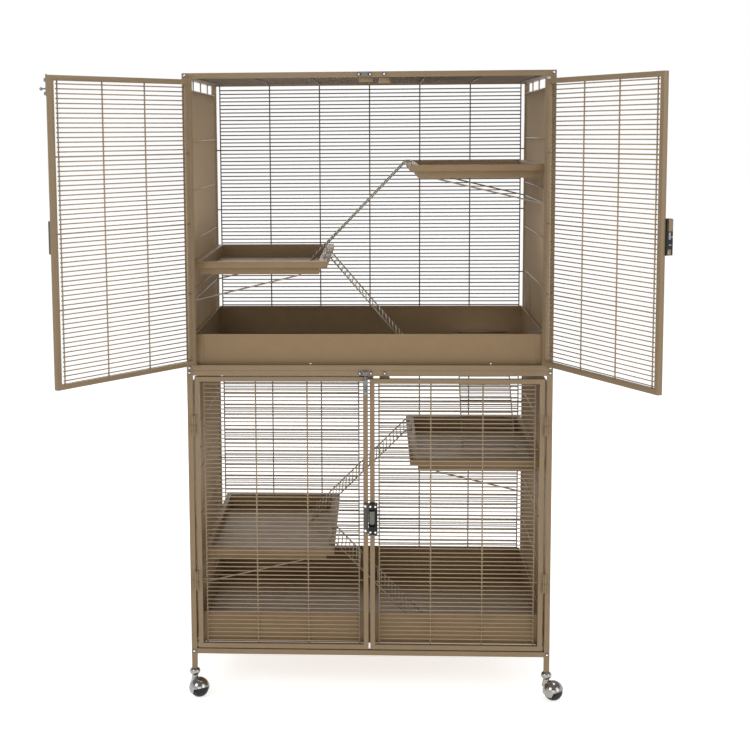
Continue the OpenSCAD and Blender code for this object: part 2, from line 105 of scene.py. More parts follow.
class CageWires(bpy.types.PropertyGroup):
    """Sizes of the welded wire."""

    pitch: length_prop("Wire spacing", "Distance between the fine wires", 0.0112)
    fine: length_prop("Fine wire", "Diameter of the fine wires", 0.0030)
    heavy: length_prop("Heavy wire", "Diameter of the wires that hold a grille together", 0.0036)
    side: length_prop("Ladder side wire", "Diameter of a ladder's two side wires", 0.0035)
    rung: length_prop("Ladder rung", "Diameter of a ladder's rungs", 0.0026)
    rung_step: length_prop("Rung spacing", "Distance between a ladder's rungs", 0.014)
    wander: length_prop("Wire wander", "How far a wire strays from its true place", 0.00022)
    seed: bpy.props.IntProperty(name="Seed", description="Seed of the wander", default=4)


class CageLook(bpy.types.PropertyGroup):
    """Colours and edge sizes."""

    paint: colour_prop("Frame paint", "Powder coat on the tubes", linear(124, 105, 80))
    door: colour_prop("Door paint", "Powder coat on the door tubes", linear(124, 105, 80))
    sheet: colour_prop("Sheet paint", "Powder coat on the trays and shelves", linear(124, 102, 73))
    # The wire paint is the tan coat made lighter than the frame paint. The lightening is painted light,
    # standing in for the front light on the door and side grilles.
    wire: colour_prop("Wire paint", "Powder coat on the wires", linear(150, 130, 105))
    # The rear wire tone is the wire paint darkened: painted shade on the back and top grilles, which
    # stand away from the front light.
    shade: colour_prop("Rear wire", "Darker coat on the back and top grilles", linear(102, 87, 70))
    ladder: colour_prop("Ladder wire", "Zinc and powder coat on the ladders", linear(140, 127, 110))
    black: colour_prop("Latch black", "Moulded latch body", linear(17, 17, 17))
    bronze: colour_prop("Strike lacquer", "Dark lacquer on the strikes", linear(76, 72, 66))
    rubber: colour_prop("Wheel", "Ball wheels", linear(27, 28, 28))
    floor: colour_prop("Floor", "Studio floor", (0.93, 0.93, 0.93))
    tube_round: length_prop("Tube corner", "Corner radius of the square tubes", 0.0011)
    sheet_round: length_prop("Sheet corner", "Fold radius of the trays and shelves", 0.0006)


class CageCamera(bpy.types.PropertyGroup):
    """Where the camera stands, and how it looks."""

    stand: bpy.props.FloatVectorProperty(
        name="Place", description="Camera position", default=(0.0267, -3.7784, 1.4983),
        size=3, unit="LENGTH",
    )
    lens: bpy.props.FloatProperty(
        name="Focal length", description="Focal length on a 36 mm sensor, in millimetres",
        default=64.85, unit="CAMERA",
    )
    pitch: bpy.props.FloatProperty(
        name="Pitch", description="Angle below the horizon", default=math.radians(6.44),
        unit="ROTATION",
    )
    turn: bpy.props.FloatProperty(
        name="Turn", description="Angle to the left of the cage's axis", default=math.radians(2.85),
        unit="ROTATION",
    )
    roll: bpy.props.FloatProperty(
        name="Roll", description="Tilt about the line of sight", default=math.radians(-0.43),
        unit="ROTATION",
    )
    shift_x: bpy.props.FloatProperty(
        name="Shift X", description="Sideways lens shift, as a fraction", default=0.084
    )
    shift_y: bpy.props.FloatProperty(
        name="Shift Y", description="Vertical lens shift, as a fraction", default=-0.12
    )


def wires():
    return bpy.context.scene.cage_wires


def look():
    return bpy.context.scene.cage_look


# ------------------------------------------------------------------ shader maths


class Shade:
    """A shader socket that can be used in an expression."""

    def __init__(self, finish, socket):
        self.finish = finish
        self.socket = socket

    def maths(self, operation, other, swap=False):
        pair = [other, self] if swap else [self, other]
        made = self.finish.node("ShaderNodeMath", {"operation": operation}, {0: pair[0], 1: pair[1]})
        return made.out(0)

    def __add__(self, other):
        return self.maths("ADD", other)

    def __mul__(self, other):
        return self.maths("MULTIPLY", other)

    def __sub__(self, other):
        return self.maths("SUBTRACT", other)

    def __rsub__(self, other):
        return self.maths("SUBTRACT", other, swap=True)

    __radd__ = __add__
    __rmul__ = __mul__


class Made:
    """A node that has been made, with its outputs at hand."""

    def __init__(self, finish, node):
        self.finish = finish
        self.made = node

    def out(self, key):
        return Shade(self.finish, self.made.outputs[key])


class Network:
    """A shader node tree and the one way nodes are added to it."""

    def __init__(self, tree):
        self.tree = tree

    def node(self, kind, settings=None, sockets=None):
        """Makes a node: its settings first, then a value or a link for each socket named."""
        node = self.tree.nodes.new(kind)
        for key, value in (settings or {}).items():
            if key == "stops":
                ramp = node.color_ramp
                for element, (position, colour) in zip(ramp.elements, value):
                    element.position = position
                    element.color = (*colour, 1.0)
            else:
                setattr(node, key, value)
        for key, value in (sockets or {}).items():
            self.feed(node.inputs[key], value)
        return Made(self, node)

    def feed(self, socket, value):
        if isinstance(value, Shade):
            self.tree.links.new(value.socket, socket)
        else:
            socket.default_value = value


class Finish(Network):
    """One material, built from nodes."""

    def __init__(self, name):
        self.material = bpy.data.materials.new(name)
        self.material.use_nodes = True
        super().__init__(self.material.node_tree)
        self.surface = self.tree.nodes["Principled BSDF"]
        self.place = self.node("ShaderNodeTexCoord").out("Object")

    def noise(self, scale, detail=2.0):
        made = self.node(
            "ShaderNodeTexNoise", None, {"Vector": self.place, "Scale": scale, "Detail": detail}
        )
        return made.out("Fac")

    def mix(self, factor, first, second):
        made = self.node(
            "ShaderNodeMix", {"data_type": "RGBA"}, {0: factor, 6: (*first, 1.0), 7: (*second, 1.0)}
        )
        return made.out(2)

    def bump(self, height, strength, distance):
        made = self.node(
            "ShaderNodeBump", None, {"Height": height, "Strength": strength, "Distance": distance}
        )
        self.feed(self.surface.inputs["Normal"], made.out("Normal"))

    def set(self, **sockets):
        for key, value in sockets.items():
            self.feed(self.surface.inputs[key.replace("_", " ")], value)
        return self


def scaled(colour, factor):
    return tuple(min(1.0, c * factor) for c in colour)


def powder_coat(name, colour, grain, rough):
    """Painted steel: a slightly mottled, faintly metallic coat with a fine orange peel."""
    finish = Finish(name)
    mottle = finish.noise(34.0, 3.0)
    flake = finish.noise(2600.0, 1.0)
    finish.set(
        Base_Color=finish.mix(mottle * 0.6 + flake * 0.4, scaled(colour, 0.86), scaled(colour, 1.14)),
        Roughness=rough + (mottle - 0.5) * 0.12,
        Metallic=0.15,
        Specular_IOR_Level=0.3,
    )
    finish.bump(finish.noise(1500.0, 2.0), grain, 0.0002)
    return finish.material


def bright_metal(name, colour, rough):
    """Polished plating with faint smears."""
    finish = Finish(name)
    smear = finish.noise(90.0, 2.0)
    finish.set(
        Base_Color=finish.mix(smear, scaled(colour, 0.9), colour),
        Roughness=rough + smear * 0.08,
        Metallic=1.0,
    )
    return finish.material


def moulded(name, colour, rough, grain):
    """Black plastic or rubber with a fine grain."""
    finish = Finish(name)
    cloud = finish.noise(120.0, 3.0)
    finish.set(
        Base_Color=finish.mix(cloud, scaled(colour, 0.75), scaled(colour, 1.3)),
        Roughness=rough + (cloud - 0.5) * 0.15,
        Specular_IOR_Level=0.25,
    )
    finish.bump(finish.noise(2200.0, 1.0), grain, 0.0001)
    return finish.material


def material(slot):
    """The finish of a material slot, made once."""
    name = "cage_" + slot
    if name in bpy.data.materials:
        return bpy.data.materials[name]
    tones = look()
    makers = {
        "frame_paint": lambda: powder_coat(name, tones.paint, 0.25, 0.42),
        "door_paint": lambda: powder_coat(name, tones.door, 0.25, 0.42),
        "tray_paint": lambda: powder_coat(name, tones.sheet, 0.22, 0.44),
        # wire_paint is the lit copy of the wire coat. Its extra brightness is painted light.
        "wire_paint": lambda: powder_coat(name, tones.wire, 0.0, 0.45),
        "ladder_wire": lambda: powder_coat(name, tones.ladder, 0.0, 0.38),
        # The darkened wire coat of the back and top grilles is painted shade.
        "rear_wire": lambda: powder_coat(name, tones.shade, 0.0, 0.5),
        # hinge_dark is the frame paint at half strength. It is painted shade on the hinge barrels, which
        # sit in shadow.
        "hinge_dark": lambda: powder_coat(name, scaled(tones.paint, 0.5), 0.0, 0.5),
        "screw_head": lambda: bright_metal(name, (0.8, 0.8, 0.8), 0.15),
        # bolt_chrome and castor_chrome are plating darkened below real chrome. The darkening is painted
        # dark reflection, so the lamps show as glints on a dark plate.
        "bolt_chrome": lambda: bright_metal(name, (0.22, 0.22, 0.22), 0.12),
        "castor_chrome": lambda: bright_metal(name, (0.36, 0.35, 0.33), 0.06),
        "lever_chrome": lambda: bright_metal(name, (0.13, 0.13, 0.11), 0.24),
        "latch_black": lambda: moulded(name, tones.black, 0.38, 0.15),
        "strike_dark": lambda: powder_coat(name, tones.bronze, 0.1, 0.35),
        "dull_plate": lambda: bright_metal(name, (0.16, 0.15, 0.14), 0.25),
        "wheel_black": lambda: moulded(name, tones.rubber, 0.5, 0.3),
    }
    return makers[slot]()


# ------------------------------------------------------------------ node trees for what repeats


class Pattern:
    """A Geometry Nodes tree with named inputs."""

    def __init__(self, name, inputs):
        self.tree = bpy.data.node_groups.new(name, "GeometryNodeTree")
        face = self.tree.interface
        face.new_socket("Geometry", in_out="INPUT", socket_type="NodeSocketGeometry")
        self.key = {}
        for label, kind in inputs.items():
            made = face.new_socket(label, in_out="INPUT", socket_type="NodeSocket" + kind)
            self.key[label] = made.identifier
        face.new_socket("Geometry", in_out="OUTPUT", socket_type="NodeSocketGeometry")
        self.entry = self.tree.nodes.new("NodeGroupInput")
        self.exit = self.tree.nodes.new("NodeGroupOutput")

    def given(self, label):
        return self.entry.outputs[label]

    def node(self, kind, settings=None, sockets=None):
        node = self.tree.nodes.new(kind)
        for key, value in (settings or {}).items():
            setattr(node, key, value)
        for key, value in (sockets or {}).items():
            if isinstance(value, bpy.types.NodeSocket):
                self.tree.links.new(value, node.inputs[key])
            else:
                node.inputs[key].default_value = value
        return node

    def finish(self, spread):
        """Realises what was spread, paints it and adds it to what came in."""
        real = self.node("GeometryNodeRealizeInstances", None, {0: spread})
        paint = self.node(
            "GeometryNodeSetMaterial", None,
            {"Geometry": real.outputs[0], "Material": self.given("Material")},
        )
        join = self.node("GeometryNodeJoinGeometry")
        self.tree.links.new(paint.outputs[0], join.inputs[0])
        self.tree.links.new(self.given("Geometry"), join.inputs[0])
        self.tree.links.new(join.outputs[0], self.exit.inputs[0])

    def row(self):
        """The points of a straight row, each strayed a little."""
        line = self.node(
            "GeometryNodeMeshLine",
            {"mode": "OFFSET"},
            {
                "Count": self.given("Count"), "Start Location": self.given("Start"),
                "Offset": self.given("Step"),
            },
        )
        stray = self.node(
            "FunctionNodeRandomValue", {"data_type": "FLOAT_VECTOR"}, {"Seed": self.given("Seed")}
        )
        stray.inputs[0].default_value = (-1.0, -1.0, -1.0)
        stray.inputs[1].default_value = (1.0, 1.0, 1.0)
        small = self.node(
            "ShaderNodeVectorMath", {"operation": "SCALE"},
            {0: stray.outputs[0], "Scale": self.given("Wander")},
        )
        moved = self.node(
            "GeometryNodeSetPosition", None, {"Geometry": line.outputs[0], "Offset": small.outputs[0]}
        )
        return moved.outputs[0]

    def facing(self):
        """The rotation that turns a shape's own height along the row's direction."""
        turn = self.node(
            "FunctionNodeAlignRotationToVector", {"axis": "Z"}, {"Vector": self.given("Along")}
        )
        return turn.outputs[0]


ROW_INPUTS = {
    "Count": "Int", "Start": "Vector", "Step": "Vector", "Along": "Vector", "Length": "Float",
    "Radius": "Float", "Wander": "Float", "Seed": "Int", "Material": "Material",
}


WIRE_SIDES = 8


def wire_pattern():
    """A row of straight round wires: each is centred on its point and runs along one direction."""
    pattern = Pattern("cage_wire_row", ROW_INPUTS)
    wire = pattern.node(
        "GeometryNodeMeshCylinder",
        {"fill_type": "NGON"},
        {"Vertices": WIRE_SIDES, "Radius": pattern.given("Radius"), "Depth": pattern.given("Length")},
    )
    spread = pattern.node(
        "GeometryNodeInstanceOnPoints",
        None,
        {"Points": pattern.row(), "Instance": wire.outputs["Mesh"], "Rotation": pattern.facing()},
    )
    pattern.finish(spread.outputs[0])
    return pattern


def dome_pattern():
    """A row of domed screw or rivet heads: Radius is the head's, Length is how far it stands out."""
    pattern = Pattern("cage_dome_row", ROW_INPUTS)
    ball = pattern.node("GeometryNodeMeshUVSphere", None, {"Segments": 16, "Rings": 10, "Radius": 1.0})
    size = pattern.node(
        "ShaderNodeCombineXYZ",
        None,
        {0: pattern.given("Radius"), 1: pattern.given("Radius"), 2: pattern.given("Length")},
    )
    spread = pattern.node(
        "GeometryNodeInstanceOnPoints",
        None,
        {
            "Points": pattern.row(), "Instance": ball.outputs["Mesh"],
            "Rotation": pattern.facing(), "Scale": size.outputs[0],
        },
    )
    pattern.finish(spread.outputs[0])
    return pattern


PATTERNS = {}
MAKERS = {"wire": wire_pattern, "dome": dome_pattern}
STILL = (0, 0, 0)


def pattern(name):
    if name not in PATTERNS:
        PATTERNS[name] = MAKERS[name]()
    return PATTERNS[name]


class Builder:
    """A new piece, gathered from rows of like shapes and then turned into one plain mesh."""

    def __init__(self, name, slot, coat=None):
        self.slot = slot
        self.coat = coat or slot
        mesh = bpy.data.meshes.new(name)
        self.object = bpy.data.objects.new(name, mesh)
        bpy.context.scene.collection.objects.link(self.object)
        self.rows = 0

    def add(self, kind, start, step, count, along, length, radius, wander=0.0, coat=None):
        """Adds a row: count shapes from start, step apart, each running or facing along."""
        made = pattern(kind)
        row = self.object.modifiers.new(f"row{self.rows}", "NODES")
        row.node_group = made.tree
        values = {
            "Count": int(count), "Start": tuple(start), "Step": tuple(step), "Along": tuple(along),
            "Length": float(length), "Radius": float(radius), "Wander": float(wander),
            "Seed": wires().seed + self.rows, "Material": material(coat or self.coat),
        }
        for label, value in values.items():
            row[made.key[label]] = value
        self.rows += 1
        return self

    def wire(self, first, last, radius, coat=None):
        """Adds one straight wire between two points."""
        first, last = Vector(first), Vector(last)
        run = last - first
        return self.add("wire", (first + last) / 2, STILL, 1, run, run.length, radius, coat=coat)

    def head(self, place, proud, radius, coat=None):
        """Adds one domed head that faces the front or the back."""
        return self.add("dome", place, STILL, 1, Y, proud, radius, coat=coat)

    def done(self, body, move=None, nodes=()):
        """Makes the mesh plain, moves it to its place at rest and hangs it on its body."""
        plain(self.object)
        if move is not None:
            self.object.data.transform(move)
        smooth_sides(self.object.data)
        return hang(self.object, body, nodes)


def plain(thing):
    """Replaces an object's mesh by its evaluated one and drops the modifiers."""
    bpy.context.view_layer.update()
    graph = bpy.context.evaluated_depsgraph_get()
    mesh = bpy.data.meshes.new_from_object(thing.evaluated_get(graph), depsgraph=graph)
    thing.modifiers.clear()
    thing.data = mesh


def smooth_sides(mesh):
    """Smooth sides and flat ends on wires; everything else smooth."""
    for face in mesh.polygons:
        face.use_smooth = len(face.vertices) <= 4


def hang(thing, body, nodes=()):
    if not thing.data.vertices:
        raise RuntimeError(f"{thing.name} came out empty")
    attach(thing, body)
    if nodes:
        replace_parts(thing, *nodes)
    return thing


# ------------------------------------------------------------------ places


def door_move(storey, side):
    """From the lower storey's closed door to this door as it stands at rest."""
    joint = JOINT[f"{storey}_{side}_door_hinge"]
    lift = Matrix.Translation((0, 0, STOREY_STEP if storey == "upper" else 0))
    pivot = Vector(joint["pos_m"])
    closed = math.radians(joint["range_deg"][0])
    turn = Matrix.Rotation(-closed, 4, Vector(joint["axis"]))
    return Matrix.Translation(pivot) @ turn @ Matrix.Translation(-pivot) @ lift


def storey_move(storey):
    return Matrix.Translation((0, 0, STOREY_STEP if storey == "upper" else 0))


# ------------------------------------------------------------------ operators


class Step(bpy.types.Operator):
    """Shared settings of the cage's operators."""

    bl_options = {"REGISTER", "UNDO"}


WELD_DISTANCE = 0.00001
FLAT_ANGLE = math.radians(1.0)
EDGE_ANGLE = math.radians(35.0)


def soften(node, width):
    """A copy of a CAD node with its loose triangles joined and its edges rounded."""
    source = frame["nodes"][node]
    mesh = source.data.copy()
    mesh.name = node + "_soft"
    work = bmesh.new()
    work.from_mesh(mesh)
    bmesh.ops.remove_doubles(work, verts=work.verts, dist=WELD_DISTANCE)
    bmesh.ops.dissolve_limit(
        work, angle_limit=FLAT_ANGLE, verts=work.verts, edges=work.edges, delimit=set()
    )
    work.to_mesh(mesh)
    work.free()
    mesh.materials.clear()
    mesh.materials.append(material(SLOT_OF[node]))
    thing = bpy.data.objects.new(node + "_finish", mesh)
    bpy.context.scene.collection.objects.link(thing)
    for face in mesh.polygons:
        face.use_smooth = True
        face.material_index = 0
    bevel = thing.modifiers.new("round", "BEVEL")
    bevel.width = width
    bevel.segments = 2
    bevel.limit_method = "ANGLE"
    bevel.angle_limit = EDGE_ANGLE
    bevel.harden_normals = True
    plain(thing)
    return hang(thing, BODY_OF[node], [node])


RAIL_ROUND = 2.1


class CAGE_OT_frame(Step):
    """Rounds and paints the square tubes of the frame, the legs and the doors"""

    bl_idname = "cage.frame"
    bl_label = "Frame tubes"

    def execute(self, context):
        tubes = [n for n in frame["nodes"] if n.endswith(("side_frame", "cross_rails", "door_frame"))]
        for node in sorted(tubes) + ["legs"]:
            soften(node, look().tube_round * (RAIL_ROUND if node.endswith("rails") else 1.0))
        return {"FINISHED"}


class CAGE_OT_sheet_metal(Step):
    """Rounds and paints the trays, shelves and runners"""

    bl_idname = "cage.sheet_metal"
    bl_label = "Trays and shelves"

    def execute(self, context):
        sheets = [n for n in frame["nodes"] if n.endswith("_shelf")]
        for node in sorted(sheets) + ["lower_tray", "upper_tray", "tray_runners", "door_stops"]:
            soften(node, look().sheet_round)
        return {"FINISHED"}


SPECIAL = {"bolt_keepers": "dull_plate", "shelf_braces": "ladder_wire"}


class CAGE_OT_small_parts(Step):
    """Gives the turned, plated and moulded parts their finishes"""

    bl_idname = "cage.small_parts"
    bl_label = "Small parts"

    def execute(self, context):
        covered = set()
        for thing in bpy.data.objects:
            covered.update(thing.get("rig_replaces", []))
        for node, thing in frame["nodes"].items():
            if node in covered:
                continue
            slot = SPECIAL.get(node, SLOT_OF[node])
            for place in thing.material_slots:
                place.material = material(slot)
        return {"FINISHED"}


def grille(name, node, body, centre, across, up, out, fine, columns, rows, move=None, rear=False):
    """A welded grille. Fine wires run along across and are stacked along up; columns run along up.

    fine is (half length low, half length high, half count); columns and rows are lists of
    (first, step, count, reach), measured from centre; rear grilles have stouter wires, and
    their darker coat is painted shade.
    """
    size = wires()
    # Rear grilles get the darkened wire coat, which paints their shade.
    piece = Builder(name, "wire_paint", "rear_wire" if rear else None)
    low, high, half_count = fine
    fine_wire = size.fine * (REAR_GAUGE if rear else 1.0)
    behind = out * -(WELD_DEPTH * (fine_wire + size.heavy))
    middle = centre + across * (low + high) / 2
    piece.add(
        "wire", middle - up * half_count * size.pitch, up * size.pitch, 2 * half_count + 1, across,
        high - low + WIRE_OVERRUN, fine_wire / 2, size.wander,
    )
    for first, step, count, reach in columns:
        piece.add(
            "wire", centre + across * first + behind, across * step, count, up, 2 * reach,
            size.heavy / 2,
        )
    for first, step, count, reach in rows:
        piece.add("wire", centre + up * first, up * step, count, across, 2 * reach, size.heavy / 2)
    return piece.done(body, move, [node])


BACK_BAY = 0.150
DOOR_BAY = 0.135
SIDE_BAY = 0.150
SIDE_STEP = 0.1315
SIDE_TOP = 0.3425
SIDE_FOOT = -0.355
HEAVY_EVERY = 16
REAR_GAUGE = 1.15
WELD_DEPTH = 0.43
WIRE_OVERRUN = 0.004
FINE_HALF_COUNT = {"back": 32, "side": 26, "door": 31, "top": 26}


class CAGE_OT_grilles(Step):
    """Welds the grilles of the back, the sides, the top and the doors"""

    bl_idname = "cage.grilles"
    bl_label = "Grilles"

    def execute(self, context):
        pitch = wires().pitch
        heavy_step = HEAVY_EVERY * pitch
        for storey in STOREYS:
            node = f"{storey}_back_mesh"
            low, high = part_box(node)
            centre, half = (low + high) / 2, (high - low) / 2
            grille(
                f"{storey}_back_wires", node, "frame", centre, X, Z, Y,
                (-3 * BACK_BAY, 3 * BACK_BAY, FINE_HALF_COUNT["back"]),
                [(-3 * BACK_BAY, BACK_BAY, 7, half.z)],
                [(0, heavy_step, 2, half.x), (-heavy_step - pitch, 0, 1, half.x)],
                rear=True,
            )
            for side, sign in (("left", -1), ("right", 1)):
                node = f"{storey}_{side}_mesh"
                low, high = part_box(node)
                centre, half = (low + high) / 2, (high - low) / 2
                grille(
                    f"{storey}_{side}_wires", node, "frame", centre, Z, Y, X * sign,
                    (SIDE_FOOT, SIDE_TOP, FINE_HALF_COUNT["side"]),
                    [(SIDE_TOP - 5 * SIDE_STEP, SIDE_STEP, 6, half.y), (SIDE_FOOT, 0, 1, half.y)],
                    [(-SIDE_BAY, SIDE_BAY, 3, half.z)],
                )
                low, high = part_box(f"lower_{side}_door_mesh")
                centre, half = (low + high) / 2, (high - low) / 2
                grille(
                    f"{storey}_{side}_door_wires", f"{storey}_{side}_door_mesh", f"{storey}_{side}_door",
                    centre, X, Z, -Y,
                    (-1.5 * DOOR_BAY, 1.5 * DOOR_BAY, FINE_HALF_COUNT["door"]),
                    [(-1.5 * DOOR_BAY, DOOR_BAY, 4, half.z)],
                    [(-heavy_step, heavy_step, 3, half.x)],
                    door_move(storey, side),
                )
        low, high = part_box("top_mesh")
        centre, half = (low + high) / 2, (high - low) / 2
        grille(
            "top_wires", "top_mesh", "frame", centre, X, Y, Z,
            (-3 * BACK_BAY, 3 * BACK_BAY, FINE_HALF_COUNT["top"]),
            [(-3 * BACK_BAY, BACK_BAY, 7, half.y)],
            [], rear=True,
        )
        return {"FINISHED"}


LADDERS = {
    "upper_shelf_ladder": -X, "upper_tray_ladder": X, "lower_shelf_ladder": -X,
    "lower_tray_ladder": X, "hatch_ladder": -Y,
}
HOOK_REACH = 0.016
HOOK_SINK = 0.001
WIRE_LAP = 0.002
RUNG_START = 0.006
RUNG_MARGIN = 0.008


class CAGE_OT_ladders(Step):
    """Bends and welds the wire ladders"""

    bl_idname = "cage.ladders"
    bl_label = "Ladders"

    def execute(self, context):
        size = wires()
        for node, ahead in LADDERS.items():
            low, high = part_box(node)
            hook = Vector(JOINT[node + "_lift"]["pos_m"])
            bend = hook + ahead * HOOK_REACH
            sideways = Y if abs(ahead.x) > 0.5 else X
            half = abs((high - low).dot(sideways)) / 2 - size.side / 2
            reach = max((low - bend).dot(ahead), (high - bend).dot(ahead)) - size.side * 0.7
            foot = bend + ahead * reach
            foot.z = low.z + size.side * 0.62
            run = foot - bend
            along = run.normalized()
            above = along.cross(sideways).normalized()
            above = above if above.z > 0 else -above
            piece = Builder(node + "_wires", "wire_paint", "ladder_wire")
            lift = Z * (size.side / 2 - HOOK_SINK)
            for start, end in ((hook + lift, bend + lift), (bend + lift, foot)):
                middle = (start + end) / 2
                piece.add(
                    "wire", middle - sideways * half, sideways * 2 * half, 2, end - start,
                    (end - start).length + WIRE_LAP, size.side / 2,
                )
            count = int((run.length - RUNG_MARGIN) / size.rung_step)
            piece.add(
                "wire", bend + lift + along * RUNG_START + above * size.rung * 0.6,
                along * size.rung_step, count + 1, sideways, 2 * half + size.side * 0.6,
                size.rung / 2, size.wander * 0.7,
            )
            piece.wire(hook + lift - sideways * half, hook + lift + sideways * half, size.side / 2)
            piece.done(BODY_OF[node], None, [node])
        return {"FINISHED"}


TUBE = 0.014
HINGE_HEIGHTS = (0.203, 0.624)
# The next four sizes place the thin dark strips on the hinge barrels, which are painted shade.
HINGE_HALF = 0.01245
HINGE_MIDDLE = 0.01325
HINGE_FRONT = 0.0042
HINGE_SHADE_STRIP = 0.0010
LEAF_THICKNESS = 0.0016
LEAF_RIVET_OUT = 0.0085
LEAF_RIVET_STEP = 0.012
LATCH_EDGE = 0.007
LATCH_SCREW_X = (0.006, -0.007)
LATCH_SINK = 0.0004
STRIKE_EDGE = 0.006
KEEPER_SCREW_OUT = 0.0139
STOP_SCREW_X = 0.041
TRAY_RIVET_X = (-0.152, 0.317)
AXLE_CAP_OUT = 0.0272
# how far each domed head stands out, and its radius
LATCH_SCREW = (0.0017, 0.0031)
STRIKE_SCREW = (0.0022, 0.0042)
LEAF_RIVET = (0.0009, 0.0018)
TRAY_RIVET = (0.0014, 0.003)
# The dark washers under the bright heads are partly real washers and partly painted reflection: the dark
# ring a plated dome shows.
BOLT_WASHER_REFLECTION = (0.0022, 0.0049)
BOLT_HEAD = (0.0037, 0.0034)
KEEPER_WASHER_REFLECTION = (0.0029, 0.0051)
KEEPER_HEAD = (0.0041, 0.0034)
AXLE_CAP = (0.0018, 0.0052)
# material, thickness, then bottom, top, front and back as shares of the latch's height and depth
LATCH_SIDE = [
    ("door_paint", 0.0008, 0.66, 0.99, 0.03, 0.72), ("door_paint", 0.0008, 0.02, 0.17, 0.30, 0.80),
    ("bolt_chrome", 0.0013, 0.44, 0.63, 0.40, 0.72), ("bolt_chrome", 0.0012, 0.27, 0.31, 0.30, 0.66),
    ("bolt_chrome", 0.0012, 0.48, 0.53, 0.08, 0.30), ("bolt_chrome", 0.0011, 0.05, 0.11, 0.62, 0.86),
]


def boxes(name, blocks, body, move):
    """One object of rectangular blocks, each (material slot, low corner, high corner)."""
    work = bmesh.new()
    mesh = bpy.data.meshes.new(name)
    slots = sorted({slot for slot, _, _ in blocks})
    for slot in slots:
        mesh.materials.append(material(slot))
    for slot, low, high in blocks:
        low, high = Vector(low), Vector(high)
        place = Matrix.Translation((low + high) / 2) @ Matrix.Diagonal((*(high - low), 1.0))
        made = bmesh.ops.create_cube(work, size=1.0, matrix=place)
        for face in {f for vert in made["verts"] for f in vert.link_faces}:
            face.material_index = slots.index(slot)
    work.to_mesh(mesh)
    work.free()
    mesh.transform(move)
    thing = bpy.data.objects.new(name, mesh)
    bpy.context.scene.collection.objects.link(thing)
    return hang(thing, body)


